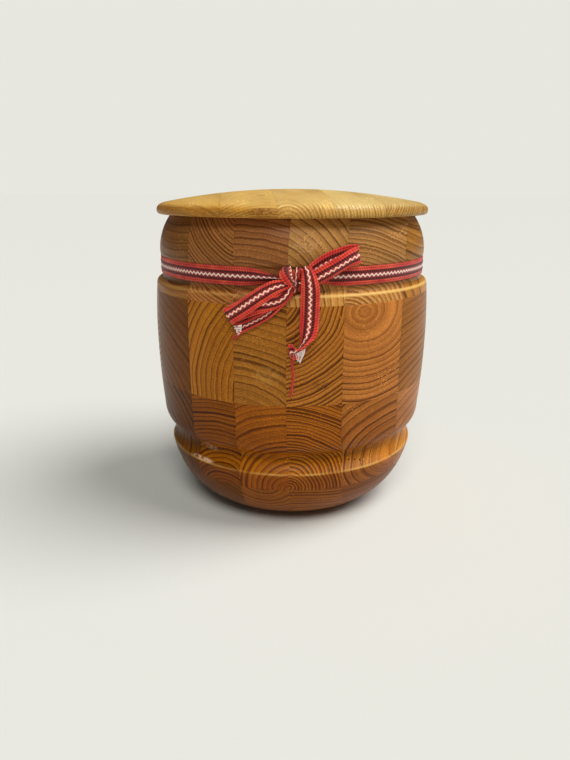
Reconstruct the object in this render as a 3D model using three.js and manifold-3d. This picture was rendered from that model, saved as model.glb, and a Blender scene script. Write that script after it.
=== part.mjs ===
// A lidded wooden jar, turned on a lathe from a glued stack of softwood boards, with a woven ribbon
// tied in a bow round its neck. Millimetres, +Z up, origin at the centre of the base.
import * as THREE from 'three';
import { mergeVertices } from 'three/addons/utils/BufferGeometryUtils.js';
import Module from 'manifold-3d';

const wasm = await Module();
wasm.setup();

// The glued stack: boards stand side by side along X, their grain runs along Y, tiers lie along Z.
// Each row has whole boards in the middle and, at each end, a board that the lathe cuts down to a slab.
const wholeBoards = 5;
const jarSlab = 18.2;
const lidSlab = 14;
const tierHeight = 71.5;
const baseTierHeight = 39;
const glueLine = 0.3;

// Heights of the turned outline, each one stacked on the one before
const footHeight = 53.5;
const coveHeight = 14;
const bellyHeight = 122;
const shoulderHeight = 1.5;
const grooveHeight = 17.5;
const neckHeight = 31;

// The belly's radius, and how far the rest of the turned outline is set in from it or from its neighbour
const bellyRadius = 113.2;
const footInset = 8.2;
const baseInset = 53;
const creaseInset = 8;
const shoulderInset = 2;
const grooveDepth = 4.9;
const neckInset = 3;
const rimInset = 9.8;

// How the curves between those radii swell and tuck in
const footSwell = 32;
const footTuck = 6;
const coveHollow = 1;
const cornerHeight = 18.3;
const cornerTuck = 3;
const neckTuck = 0.8;

// The hollow, bored straight down from the mouth
const rimWidth = 12.4;
const floorThickness = 24;
const floorFillet = 14;

// The lid, a board panel turned to a shallow dome, with a spigot that drops into the mouth
const lidOverhang = 0.8;
const lidThickness = 19;
const lidEdgeRise = 9.1;
const lidEdgeWidth = 7;
const lidEdgeRound = 3;
const lidBead = 1.6;
const spigotDepth = 8;
const spigotChamfer = 1;
const spigotClearance = 0.8;
const seatGap = 0.3;
const lidTurn = 16.5;

// The ribbon: its band in the groove, and the bow tied over it
const ribbonWidth = 13;
const ribbonThickness = 1;
const ribbonClearance = 0.3;
const bandRise = 3;
const knotAngle = -78;
const knotWidth = 15;
const knotHeight = 15.5;
const knotProud = 3.5;

// How far each loop and tail of the bow reaches sideways from the knot, and rises from or hangs below it
const leftLoopReach = 44.5;
const leftLoopDrop = 28;
const rightLoopReach = 47.5;
const rightLoopRise = 20;
const leftTailReach = 38;
const leftTailDrop = 33.5;
const frontTailReach = 12;
const frontTailDrop = 49.5;
const loopDepth = 4.6;

// Facets
const turns = 64;
const curveSteps = 4;

const footRadius = bellyRadius - footInset;
const baseRadius = footRadius - baseInset;
const creaseRadius = footRadius - creaseInset;
const shoulderRadius = bellyRadius - shoulderInset;
const grooveRadius = shoulderRadius - grooveDepth;
const neckRadius = shoulderRadius - neckInset;
const rimRadius = neckRadius - rimInset;
const mouthRadius = rimRadius - rimWidth;
const lidRadius = neckRadius + lidOverhang;
const jarBoardWidth = (bellyRadius - jarSlab) * 2 / wholeBoards;
const lidBoardWidth = (lidRadius - lidSlab) * 2 / wholeBoards;
const creaseHeight = footHeight + coveHeight;
const shoulderEdge = creaseHeight + bellyHeight;
const grooveFloor = shoulderEdge + shoulderHeight;
const grooveTop = grooveFloor + grooveHeight;
const bodyHeight = grooveTop + neckHeight;
const spigotRadius = mouthRadius - spigotClearance;
const bandHeight = grooveFloor + bandRise + ribbonWidth / 2;
const knotBack = grooveRadius + ribbonClearance;
const knotFace = bellyRadius + knotProud;

const wood = (colour) => new THREE.MeshStandardMaterial({ color: colour, roughness: 0.35, metalness: 0 });
const bodyWoods = [wood(0x9c6228), wood(0xa66b2e), wood(0x8f5a24), wood(0xa8703a)];
const lidWoods = [wood(0xd09a52), wood(0xc9914a), wood(0xd7a35e)];
const ribbonCloth = new THREE.MeshStandardMaterial({ color: 0xb8323a, roughness: 0.9, metalness: 0 });

// Turns a closed geometry into a solid, without the triangles that shrink to nothing at a pole
function solidOf(geometry) {
  geometry.deleteAttribute('normal');
  geometry.deleteAttribute('uv');
  const merged = mergeVertices(geometry);
  const index = merged.index.array;
  const triVerts = [];
  for (let i = 0; i < index.length; i += 3) {
    const [a, b, c] = [index[i], index[i + 1], index[i + 2]];
    if (a !== b && b !== c && c !== a) triVerts.push(a, b, c);
  }
  const mesh = new wasm.Mesh({
    numProp: 3,
    vertProperties: new Float32Array(merged.attributes.position.array),
    triVerts: new Uint32Array(triVerts),
  });
  return new wasm.Manifold(mesh);
}

function geometryOf(positions, triangles) {
  const geometry = new THREE.BufferGeometry();
  geometry.setAttribute('position', new THREE.BufferAttribute(new Float32Array(positions), 3));
  geometry.setIndex(Array.from(triangles));
  geometry.computeVertexNormals();
  return geometry;
}

// Revolves an outline of (radius, height) points, which starts and ends on the axis, about Z
function turned(outline) {
  const lathe = new THREE.LatheGeometry(outline, turns);
  lathe.rotateX(Math.PI / 2);
  return solidOf(lathe);
}

function boxSolid(low, high) {
  const size = new THREE.Vector3().subVectors(high, low);
  const middle = new THREE.Vector3().addVectors(high, low).multiplyScalar(0.5);
  const box = new THREE.BoxGeometry(size.x, size.y, size.z);
  return solidOf(box.translate(middle.x, middle.y, middle.z));
}

// Splits a cut solid into its loose pieces, each with its centre, front piece first
function loosePieces(solid) {
  const { vertProperties, triVerts } = solid.getMesh();
  const parent = Array.from({ length: vertProperties.length / 3 }, (_, i) => i);
  const root = (i) => {
    while (parent[i] !== i) i = parent[i] = parent[parent[i]];
    return i;
  };
  for (let i = 0; i < triVerts.length; i += 3) {
    parent[root(triVerts[i])] = root(triVerts[i + 1]);
    parent[root(triVerts[i + 1])] = root(triVerts[i + 2]);
  }
  const groups = new Map();
  for (let i = 0; i < triVerts.length; i += 3) {
    const key = root(triVerts[i]);
    if (!groups.has(key)) groups.set(key, { positions: [], triangles: [], placed: new Map() });
    const group = groups.get(key);
    for (const corner of triVerts.subarray(i, i + 3)) {
      if (!group.placed.has(corner)) {
        group.placed.set(corner, group.placed.size);
        group.positions.push(...vertProperties.subarray(corner * 3, corner * 3 + 3));
      }
      group.triangles.push(group.placed.get(corner));
    }
  }
  const pieces = Array.from(groups.values(), ({ positions, triangles }) => {
    const geometry = geometryOf(positions, triangles);
    geometry.computeBoundingBox();
    return { geometry, centre: geometry.boundingBox.getCenter(new THREE.Vector3()) };
  });
  return pieces.sort((a, b) => a.centre.y - b.centre.y || a.centre.z - b.centre.z);
}

// Saws a turned solid along the glue joints between its boards and adds each board's wood as a mesh
function addBoards(group, solid, reach, boardWidth, low, high, name, woods) {
  for (let number = 1; number <= wholeBoards + 2; number += 1) {
    const middle = (number - (wholeBoards + 3) / 2) * boardWidth;
    const inward = (boardWidth - glueLine) / 2;
    const left = number === 1 ? -2 * reach : middle - inward;
    const right = number === wholeBoards + 2 ? 2 * reach : middle + inward;
    const board = boxSolid(new THREE.Vector3(left, -2 * reach, low), new THREE.Vector3(right, 2 * reach, high));
    const pieces = loosePieces(solid.intersect(board));
    pieces.forEach(({ geometry, centre }, k) => {
      const mesh = new THREE.Mesh(geometry, woods[(number + k) % woods.length]);
      const side = Math.abs(centre.y) < 1 ? `_${k + 1}` : centre.y < 0 ? '_front' : '_back';
      mesh.name = `${name}_board_${number}${pieces.length > 1 ? side : ''}`;
      group.add(mesh);
    });
  }
}

const at = (radius, height) => new THREE.Vector2(radius, height);

function outlineFrom(...stretches) {
  const points = [];
  for (const stretch of stretches) {
    const add = stretch instanceof THREE.Curve ? stretch.getPoints(curveSteps) : [stretch];
    for (const point of add) {
      if (!points.length || points.at(-1).distanceTo(point) > 1e-4) points.push(point);
    }
  }
  return points;
}

// The jar's outline: bowl-shaped foot, cove up to the crease, barrel belly, shoulder, ribbon groove,
// rounded neck and rim, then the bore down to the floor
function bodyOutline() {
  const bellyCorner = creaseHeight + cornerHeight;
  const bellyMiddle = bellyCorner + (shoulderEdge - bellyCorner) * 0.6;
  const cornerRadius = bellyRadius - cornerTuck;
  const filletTop = floorThickness + floorFillet;
  return outlineFrom(
    at(0, 0),
    new THREE.CubicBezierCurve(
      at(baseRadius, 0),
      at(baseRadius + footSwell, footHeight * 0.08),
      at(footRadius - footTuck, footHeight * 0.48),
      at(footRadius, footHeight),
    ),
    new THREE.QuadraticBezierCurve(
      at(footRadius, footHeight),
      at(creaseRadius + coveHollow, footHeight + coveHeight * 0.35),
      at(creaseRadius, creaseHeight),
    ),
    new THREE.QuadraticBezierCurve(
      at(creaseRadius, creaseHeight),
      at(cornerRadius, creaseHeight + cornerHeight * 0.15),
      at(cornerRadius, bellyCorner),
    ),
    new THREE.QuadraticBezierCurve(
      at(cornerRadius, bellyCorner),
      at(bellyRadius, (bellyCorner + bellyMiddle) / 2),
      at(bellyRadius, bellyMiddle),
    ),
    new THREE.QuadraticBezierCurve(
      at(bellyRadius, bellyMiddle),
      at(bellyRadius, (shoulderEdge + bellyMiddle) / 2),
      at(shoulderRadius, shoulderEdge),
    ),
    at(grooveRadius, grooveFloor),
    at(grooveRadius, grooveTop - shoulderHeight),
    new THREE.CubicBezierCurve(
      at(neckRadius - neckTuck, grooveTop),
      at(neckRadius + neckTuck / 2, grooveTop + neckHeight * 0.2),
      at(neckRadius - neckTuck, grooveTop + neckHeight * 0.6),
      at(rimRadius, bodyHeight),
    ),
    at(mouthRadius, bodyHeight),
    new THREE.QuadraticBezierCurve(
      at(mouthRadius, filletTop),
      at(mouthRadius, floorThickness),
      at(mouthRadius - floorFillet, floorThickness),
    ),
    at(0, floorThickness),
  );
}

// The lid's outline, from its seat on the rim: spigot below, rounded edge, shallow dome above
function lidOutline() {
  const domeEdge = lidRadius - lidEdgeWidth;
  return outlineFrom(
    at(0, -spigotDepth),
    at(spigotRadius - spigotChamfer, -spigotDepth),
    at(spigotRadius, spigotChamfer - spigotDepth),
    at(spigotRadius, 0),
    new THREE.QuadraticBezierCurve(
      at(lidRadius - lidEdgeRound, 0),
      at(lidRadius, 0),
      at(lidRadius, lidEdgeRound),
    ),
    new THREE.QuadraticBezierCurve(
      at(lidRadius, lidEdgeRound),
      at(lidRadius, lidEdgeRise - lidBead),
      at(domeEdge, lidEdgeRise),
    ),
    new THREE.QuadraticBezierCurve(
      at(domeEdge, lidEdgeRise),
      at(domeEdge / 2, lidThickness),
      at(0, lidThickness),
    ),
  );
}

// A place on the jar's front: arc to the right of the knot, height above the band's middle, and radius
function onJar(arc, rise, radius) {
  const angle = THREE.MathUtils.degToRad(knotAngle) + arc / bellyRadius;
  return new THREE.Vector3(radius * Math.cos(angle), radius * Math.sin(angle), bandHeight + rise);
}

// A flat strip of ribbon through stations of {arc, rise, radius, width, lean}, where lean turns the
// ribbon's width from upright, in degrees
function strip(stations) {
  const positions = [];
  const triangles = [];
  const middles = stations.map(({ arc, rise, radius }) => onJar(arc, rise, radius));
  stations.forEach(({ arc, width, lean }, i) => {
    const angle = THREE.MathUtils.degToRad(knotAngle) + arc / bellyRadius;
    const along = new THREE.Vector3(-Math.sin(angle), Math.cos(angle), 0);
    const tilt = THREE.MathUtils.degToRad(lean);
    const across = new THREE.Vector3(0, 0, Math.cos(tilt)).addScaledVector(along, Math.sin(tilt));
    const before = middles[Math.max(i - 1, 0)];
    const after = middles[Math.min(i + 1, middles.length - 1)];
    const course = new THREE.Vector3().subVectors(after, before).normalize();
    const face = new THREE.Vector3().crossVectors(across, course).normalize();
    for (const [u, v] of [[-1, -1], [1, -1], [1, 1], [-1, 1]]) {
      const corner = middles[i].clone();
      corner.addScaledVector(across, u * width / 2).addScaledVector(face, v * ribbonThickness / 2);
      positions.push(...corner);
    }
  });
  const last = (stations.length - 1) * 4;
  for (let row = 0; row < last; row += 4) {
    for (let k = 0; k < 4; k += 1) {
      const [a, b] = [row + k, row + (k + 1) % 4];
      triangles.push(a, b + 4, b, a, a + 4, b + 4);
    }
  }
  triangles.push(0, 1, 2, 0, 2, 3, last, last + 2, last + 1, last, last + 3, last + 2);
  return solidOf(geometryOf(positions, triangles));
}

function ribbonBand() {
  const inner = grooveRadius + ribbonClearance;
  const outer = inner + ribbonThickness;
  const low = bandHeight - ribbonWidth / 2;
  const high = bandHeight + ribbonWidth / 2;
  const section = [at(inner, low), at(outer, low), at(outer, high), at(inner, high), at(inner, low)];
  return turned(section);
}

function ribbonKnot() {
  const knot = new THREE.SphereGeometry(0.5, 16, 12);
  knot.rotateX(Math.PI / 2);
  knot.scale(knotFace - knotBack, knotWidth, knotHeight);
  knot.translate((knotFace + knotBack) / 2, 0, bandHeight);
  knot.rotateZ(THREE.MathUtils.degToRad(knotAngle));
  return solidOf(knot);
}

// A loop or tail of the bow, its stations given in shares of its reach sideways and its rise
function bowPiece(reach, rise, stations) {
  return strip(stations.map(({ out, up, ...rest }) => ({ arc: out * reach, rise: up * rise, ...rest })));
}

// The bow: two loops, one hanging and one standing up, and two tails. The ribbon narrows at the knot.
function ribbonBow() {
  const hung = bellyRadius + ribbonClearance + ribbonThickness / 2;
  const stood = neckRadius + ribbonClearance + ribbonThickness / 2;
  const pinched = ribbonWidth * 0.6;
  const gathered = ribbonWidth * 0.85;
  const leftLoop = bowPiece(-leftLoopReach, -leftLoopDrop, [
    { out: 0.05, up: 0.05, radius: knotFace - 1, width: pinched, lean: -30 },
    { out: 0.36, up: 0.31, radius: hung + loopDepth + 0.6, width: gathered, lean: -32 },
    { out: 0.85, up: 0.84, radius: hung + loopDepth + 0.4, width: gathered, lean: -36 },
    { out: 0.97, up: 0.96, radius: hung + loopDepth * 0.8, width: gathered, lean: -38 },
    { out: 1, up: 1, radius: hung + loopDepth * 0.45, width: gathered, lean: -38 },
    { out: 0.96, up: 0.98, radius: hung + 0.9, width: gathered, lean: -36 },
    { out: 0.5, up: 0.66, radius: hung + 0.5, width: gathered, lean: -24 },
    { out: 0.1, up: 0.34, radius: knotFace - 3, width: pinched, lean: -34 },
  ]);
  const rightLoop = bowPiece(rightLoopReach, rightLoopRise, [
    { out: 0.08, up: 0.05, radius: knotFace - 1.6, width: pinched, lean: -26 },
    { out: 0.46, up: 0.42, radius: stood + loopDepth + 3.4, width: gathered, lean: -26 },
    { out: 0.9, up: 0.88, radius: stood + loopDepth + 1.6, width: ribbonWidth, lean: -22 },
    { out: 1, up: 0.97, radius: stood + loopDepth, width: ribbonWidth, lean: -21 },
    { out: 0.98, up: 1, radius: stood + loopDepth * 0.6, width: ribbonWidth, lean: -21 },
    { out: 0.88, up: 0.95, radius: stood + loopDepth * 0.4, width: ribbonWidth, lean: -22 },
    { out: 0.42, up: 0.52, radius: stood + loopDepth * 0.5, width: gathered, lean: -26 },
    { out: 0.1, up: 0.18, radius: knotFace - 5, width: pinched, lean: -26 },
  ]);
  const leftTail = bowPiece(-leftTailReach, -leftTailDrop, [
    { out: 0.05, up: 0.2, radius: knotFace - 4.4, width: pinched, lean: -37 },
    { out: 0.28, up: 0.42, radius: hung + 0.2, width: gathered, lean: -37 },
    { out: 0.6, up: 0.7, radius: hung + 0.2, width: gathered, lean: -35 },
    { out: 1, up: 1, radius: hung + 0.2, width: gathered, lean: -28 },
  ]);
  const frontTail = bowPiece(frontTailReach, -frontTailDrop, [
    { out: 0.55, up: -0.08, radius: knotFace - 2.6, width: pinched, lean: 90 },
    { out: 0.75, up: -0.12, radius: knotFace + 0.6, width: gathered, lean: 90 },
    { out: 0.96, up: 0.06, radius: hung + 4.6, width: ribbonWidth, lean: 90 },
    { out: 1, up: 0.4, radius: hung + 1.6, width: ribbonWidth, lean: 90 },
    { out: 0.98, up: 0.64, radius: hung + 0.6, width: ribbonWidth, lean: 92 },
    { out: 0.8, up: 0.8, radius: hung + 0.9, width: ribbonWidth * 0.7, lean: 102 },
    { out: 0.45, up: 0.92, radius: hung + 1.4, width: pinched, lean: 126 },
    { out: 0.12, up: 1, radius: hung + 0.6, width: pinched, lean: 140 },
  ]);
  return leftLoop.add(rightLoop).add(leftTail).add(frontTail);
}

const jar = new THREE.Group();

const body = turned(bodyOutline());
const widest = Math.max(footRadius, bellyRadius, neckRadius);
const tierNames = ['base', 'lower', 'middle', 'upper', 'top'];
const bodyGroup = new THREE.Group();
for (let tier = 0, bottom = 0; bottom < bodyHeight; tier += 1) {
  const top = baseTierHeight + tier * tierHeight;
  const low = tier ? bottom + glueLine / 2 : -tierHeight;
  const high = Math.min(top, bodyHeight + tierHeight) - glueLine / 2;
  const name = tierNames[tier] ?? `tier_${tier + 1}`;
  addBoards(bodyGroup, body, widest, jarBoardWidth, low, high, name, bodyWoods);
  bottom = top;
}
jar.add(bodyGroup);

const ribbonSolid = ribbonBand().add(ribbonKnot()).add(ribbonBow());
const ribbonMesh = ribbonSolid.getMesh();
const ribbon = new THREE.Mesh(geometryOf(ribbonMesh.vertProperties, ribbonMesh.triVerts), ribbonCloth);
ribbon.name = 'ribbon';
jar.add(ribbon);

const lidGroup = new THREE.Group();
lidGroup.position.z = bodyHeight + seatGap;
lidGroup.rotation.z = THREE.MathUtils.degToRad(lidTurn);
const lid = turned(lidOutline());
addBoards(lidGroup, lid, lidRadius, lidBoardWidth, -2 * spigotDepth, 2 * lidThickness, 'lid', lidWoods);
jar.add(lidGroup);

export default jar;
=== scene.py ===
import math
import random

import bpy
from mathutils import Matrix, Vector


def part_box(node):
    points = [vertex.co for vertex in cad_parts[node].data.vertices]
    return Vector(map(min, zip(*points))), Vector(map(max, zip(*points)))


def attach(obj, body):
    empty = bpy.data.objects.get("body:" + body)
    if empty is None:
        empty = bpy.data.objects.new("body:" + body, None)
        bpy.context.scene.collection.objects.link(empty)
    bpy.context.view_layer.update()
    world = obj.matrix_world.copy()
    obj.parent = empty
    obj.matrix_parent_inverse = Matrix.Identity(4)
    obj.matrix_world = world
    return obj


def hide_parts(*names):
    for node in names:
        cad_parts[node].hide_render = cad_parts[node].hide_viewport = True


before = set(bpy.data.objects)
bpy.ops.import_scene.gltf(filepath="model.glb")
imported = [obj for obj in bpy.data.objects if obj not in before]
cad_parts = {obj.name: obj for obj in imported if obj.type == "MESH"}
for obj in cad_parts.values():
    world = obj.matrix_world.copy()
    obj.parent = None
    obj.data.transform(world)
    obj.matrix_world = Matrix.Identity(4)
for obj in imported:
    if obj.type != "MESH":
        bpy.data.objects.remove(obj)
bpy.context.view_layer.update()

# The jar is seen from a little above its lid and to the right of its front, at arm's length.
# The camera is a plain one without shift or depth of field.
eye_distance = 0.530
eye_height = 0.2577
eye_side = math.radians(11.45)
eye_turn = math.radians(12.03)
eye_pitch = math.radians(16.93)
eye_roll = math.radians(0.14)
focal_length = 29.54

camera_data = bpy.data.cameras.new("camera")
camera_data.sensor_width = 36
camera_data.lens = focal_length
camera_data.clip_start = 0.01
camera = bpy.data.objects.new("camera", camera_data)
bpy.context.scene.collection.objects.link(camera)
eye = Vector((eye_distance * math.sin(eye_side), -eye_distance * math.cos(eye_side), eye_height))
camera.matrix_world = (
    Matrix.Translation(eye)
    @ Matrix.Rotation(eye_turn, 4, "Z")
    @ Matrix.Rotation(math.pi / 2 - eye_pitch, 4, "X")
    @ Matrix.Rotation(eye_roll, 4, "Z")
)
bpy.context.scene.camera = camera
bpy.context.scene.view_settings.view_transform = "Standard"


# The floor is a plain pale studio sheet that runs on to the horizon, with a soft key light from the
# right and a pale surround. Its materials and the wood's are written with the class Link.
class Link:
    """An output of a node in a tree, or the tree alone. Arithmetic on it adds Math nodes."""

    def __init__(self, tree, socket=None):
        self.tree = tree
        self.socket = socket

    def add(self, kind, settings=None, inputs=None, output=0):
        """A node of that kind. Its settings are set first, then its sockets by name or number."""
        node = self.tree.nodes.new(kind)
        for name, value in (settings or {}).items():
            setattr(node, name, value)
        for name, value in (inputs or {}).items():
            for part in value if isinstance(value, list) else [value]:
                if isinstance(part, Link):
                    part.into(node, name)
                else:
                    node.inputs[name].default_value = part
        return Link(self.tree, node.outputs[output])

    def into(self, node, name):
        """Leads this output to a socket of a node."""
        self.tree.links.new(self.socket, node.inputs[name])

    def maths(self, operation, *others):
        return self.add("ShaderNodeMath", {"operation": operation}, dict(enumerate((self, *others))))

    def __add__(self, other):
        return self.maths("ADD", other)

    def __sub__(self, other):
        return self.maths("SUBTRACT", other)

    def __rsub__(self, other):
        return self.add("ShaderNodeMath", {"operation": "SUBTRACT"}, {0: other, 1: self})

    def __mul__(self, other):
        return self.maths("MULTIPLY", other)

    def __truediv__(self, other):
        return self.maths("DIVIDE", other)

    def __gt__(self, other):
        return self.maths("GREATER_THAN", other)

    def __lt__(self, other):
        return self.maths("LESS_THAN", other)

    def __abs__(self):
        return self.maths("ABSOLUTE")

    __radd__ = __add__
    __rmul__ = __mul__

    def rise(self, low, high):
        """0 up to low, 1 from high on and smooth between; falls instead where low is above high."""
        return self.add(
            "ShaderNodeMapRange",
            {"interpolation_type": "SMOOTHSTEP"},
            {"Value": self, "From Min": low, "From Max": high},
        )

    def mix(self, low, high, blend="MIX"):
        """The colour low where this is 0, and high, or low times high, where it is 1."""
        settings = {"data_type": "RGBA", "blend_type": blend}
        return self.add("ShaderNodeMix", settings, {0: self, 6: low, 7: high}, 2)

    def vector(self, operation, *others, output=0):
        values = dict(enumerate((self, *others)))
        return self.add("ShaderNodeVectorMath", {"operation": operation}, values, output)

    def scaled(self, share):
        return self.add("ShaderNodeVectorMath", {"operation": "SCALE"}, {0: self, 3: share})

    def noise(self, scale=1, detail=2):
        """Noise over this place, from about -1 to 1."""
        fog = self.add("ShaderNodeTexNoise", inputs={"Vector": self, "Scale": scale, "Detail": detail})
        return (fog - 0.5) * 3.2

    def part(self, axis):
        return self.add("ShaderNodeSeparateXYZ", inputs={0: self}, output="XYZ".index(axis))

    def attribute(self, name, output="Fac"):
        return self.add("ShaderNodeAttribute", {"attribute_name": name}, output=output)


def paint(code):
    """A screen colour such as 0x9c6228 in the linear values of a material."""
    parts = [(code >> shift & 255) / 255 for shift in (16, 8, 0)]
    linear = [part / 12.92 if part <= 0.04045 else ((part + 0.055) / 1.055) ** 2.4 for part in parts]
    return (*linear, 1)


def finish_of(name):
    """A new material, a Link to start its nodes from, and its shader."""
    material = bpy.data.materials.new(name)
    material.use_nodes = True
    return material, Link(material.node_tree), material.node_tree.nodes["Principled BSDF"]


floor_reach = 30
floor_pale = paint(0xe0e0d9)
surround_pale = paint(0xe7e7df)
surround_light = 0.14
# Each lamp: its strength, then in degrees its softness, its way round from the front, and its height
lamps = {
    "key": (2.5, 42, 96, 54),
    "fill": (1.35, 24, 12, 52),
}

floor_corners = [(x * floor_reach, y * floor_reach, 0) for x, y in ((-1, -1), (1, -1), (1, 1), (-1, 1))]
floor_mesh = bpy.data.meshes.new("floor")
floor_mesh.from_pydata(floor_corners, [], [(0, 1, 2, 3)])
floor = bpy.data.objects.new("floor", floor_mesh)
bpy.context.scene.collection.objects.link(floor)
floor_finish, _, floor_shader = finish_of("pale_floor")
floor_shader.inputs["Base Color"].default_value = floor_pale
floor_shader.inputs["Roughness"].default_value = 0.9
floor_shader.inputs["Specular IOR Level"].default_value = 0.1
floor_mesh.materials.append(floor_finish)

for lamp_name, (strength, softness, way_round, height) in lamps.items():
    lamp_data = bpy.data.lights.new(lamp_name, "SUN")
    lamp_data.energy = strength
    lamp_data.angle = math.radians(softness)
    lamp = bpy.data.objects.new(lamp_name, lamp_data)
    bpy.context.scene.collection.objects.link(lamp)
    tipped = Matrix.Rotation(math.radians(90 - height), 4, "X")
    lamp.matrix_world = Matrix.Rotation(math.radians(way_round), 4, "Z") @ tipped

surround = bpy.data.worlds.new("surround")
surround.use_nodes = True
bpy.context.scene.world = surround
sky = Link(surround.node_tree)
seen = sky.add("ShaderNodeLightPath", output="Is Camera Ray")
sky_lit = (*(part * surround_light for part in surround_pale[:3]), 1)
seen.mix(sky_lit, surround_pale).into(surround.node_tree.nodes["Background"], "Color")


# The jar's body is one stack of glued pine boards, four tiers of seven, turned on a lathe to a bowl
# foot with a sharp edge, a cove, a full belly, a groove for the ribbon and a rounded neck, and then
# bored. Each board is sawn here from one turned outline, so that its faces meet its neighbours'.
mm = 0.001
foot_height = 53.5 * mm
crease_height = 67.5 * mm
shoulder_edge = 189.5 * mm
groove_floor = 191 * mm
groove_top = 208.5 * mm
body_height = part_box("upper_board_4_front")[1].z
base_radius = 52 * mm
foot_radius = 105 * mm
crease_radius = 97 * mm
corner_radius = 110.2 * mm
belly_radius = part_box("middle_board_7")[1].x
shoulder_radius = 111.2 * mm
groove_radius = 106.3 * mm
neck_radius = 108.2 * mm
rim_radius = 98.4 * mm
mouth_radius = 86 * mm
floor_thickness = 24 * mm
floor_fillet = 14 * mm
turned_steps = 24
turned_sides = 320
eased_steps = 5
least_step = 0.02 * mm


def curve(*points, steps=turned_steps):
    """A Bezier stretch of an outline from the first of these points to the last."""
    degree = len(points) - 1
    return [
        tuple(
            sum(
                math.comb(degree, k) * (1 - t) ** (degree - k) * t ** k * point[axis]
                for k, point in enumerate(points)
            )
            for axis in (0, 1)
        )
        for t in (step / steps for step in range(steps + 1))
    ]


def outline_of(*stretches):
    """One line of (radius, height) points from single points and curved stretches."""
    line = []
    for stretch in stretches:
        for point in stretch if isinstance(stretch, list) else [stretch]:
            if not line or math.dist(point, line[-1]) > least_step:
                line.append(point)
    return line


def eased(line, corner, reach):
    """The outline with its sharp corner sanded to a small round that reaches that far each way."""
    middle = min(range(len(line)), key=lambda k: math.dist(line[k], corner))
    before = [point for point in line[:middle] if math.dist(point, corner) > reach]
    after = [point for point in line[middle + 1:] if math.dist(point, corner) > reach]
    ends = []
    for near in (line[middle - 1] if len(before) == middle else before[-1], after[0]):
        away = (Vector(near) - Vector(corner)).normalized() * reach
        ends.append((corner[0] + away.x, corner[1] + away.y))
    return before + curve(ends[0], corner, ends[1], steps=eased_steps) + after


def turned(name, line):
    """A solid of revolution whose outline starts and ends on the lathe's axis."""
    points = [(0, 0, line[0][1])]
    for radius, height in line[1:-1]:
        for side in range(turned_sides):
            angle = 2 * math.pi * side / turned_sides
            points.append((radius * math.cos(angle), radius * math.sin(angle), height))
    points.append((0, 0, line[-1][1]))
    rings = len(line) - 2
    faces = []
    for side in range(turned_sides):
        after = (side + 1) % turned_sides
        faces.append((0, 1 + after, 1 + side))
        for ring in range(rings - 1):
            low, high = 1 + ring * turned_sides, 1 + (ring + 1) * turned_sides
            faces.append((low + side, low + after, high + after, high + side))
        top = 1 + (rings - 1) * turned_sides
        faces.append((top + side, top + after, len(points) - 1))
    mesh = bpy.data.meshes.new(name)
    mesh.from_pydata(points, [], faces)
    return mesh


# The corners of the outline, and the places that pull its curved stretches outwards or inwards
bowl_pulls = (base_radius + 32 * mm, foot_height * 0.08), (99 * mm, foot_height * 0.48)
foot_edge = (foot_radius, foot_height)
foot_edge_pull = (crease_radius + 1 * mm, foot_height + 4.9 * mm)
crease = (crease_radius, crease_height)
crease_pull = (corner_radius, crease_height + 2.75 * mm)
belly_corner = (corner_radius, crease_height + 18.3 * mm)
belly_middle = (belly_radius, belly_corner[1] + (shoulder_edge - belly_corner[1]) * 0.6)
low_belly_pull = (belly_radius, (belly_corner[1] + belly_middle[1]) / 2)
high_belly_pull = (belly_radius, (shoulder_edge + belly_middle[1]) / 2)
shoulder = (shoulder_radius, shoulder_edge)
groove_low = (groove_radius, groove_floor)
groove_high = (groove_radius, groove_top - 1.5 * mm)
lip = (neck_radius - 0.8 * mm, groove_top)
neck_pulls = (neck_radius + 0.4 * mm, groove_top + 6.2 * mm), (neck_radius - 0.8 * mm, groove_top + 18.6 * mm)
rim = (rim_radius, body_height)
mouth = (mouth_radius, body_height)
fillet_top = (mouth_radius, floor_thickness + floor_fillet)
fillet_pull = (mouth_radius, floor_thickness)
fillet_end = (mouth_radius - floor_fillet, floor_thickness)
jar_line = outline_of(
    (0, 0),
    curve((base_radius, 0), *bowl_pulls, foot_edge),
    curve(foot_edge, foot_edge_pull, crease),
    curve(crease, crease_pull, belly_corner),
    curve(belly_corner, low_belly_pull, belly_middle),
    curve(belly_middle, high_belly_pull, shoulder),
    groove_low,
    groove_high,
    curve(lip, *neck_pulls, rim),
    mouth,
    curve(fillet_top, fillet_pull, fillet_end),
    (0, floor_thickness),
)
edge_ease = {
    foot_edge: 1.1 * mm,
    crease: 3.5 * mm,
    shoulder: 2.6 * mm,
    groove_low: 1.2 * mm,
    lip: 0.7 * mm,
    mouth: 1.2 * mm,
}
for corner, reach in edge_ease.items():
    jar_line = eased(jar_line, corner, reach)
jar_solid = turned("turned_jar", jar_line)


def tree_with(name, sizes):
    """A geometry tree with a named input for the geometry and each size, its inputs and its end node."""
    tree = bpy.data.node_groups.new(name, "GeometryNodeTree")
    tree.interface.new_socket("Geometry", in_out="INPUT", socket_type="NodeSocketGeometry")
    for label, kind in sizes.items():
        tree.interface.new_socket(label, in_out="INPUT", socket_type=f"NodeSocket{kind}")
    tree.interface.new_socket("Geometry", in_out="OUTPUT", socket_type="NodeSocketGeometry")
    start = tree.nodes.new("NodeGroupInput")
    given = {socket.name: Link(tree, socket) for socket in start.outputs}
    return tree, given, tree.nodes.new("NodeGroupOutput")


def end_tree(end, geometry, material):
    """Makes the geometry real, gives it its material and leads it to the tree's end node."""
    real = geometry.add("GeometryNodeRealizeInstances", inputs={"Geometry": geometry})
    dressed = geometry.add("GeometryNodeSetMaterial", inputs={"Geometry": real, "Material": material})
    dressed.into(end, "Geometry")


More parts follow.
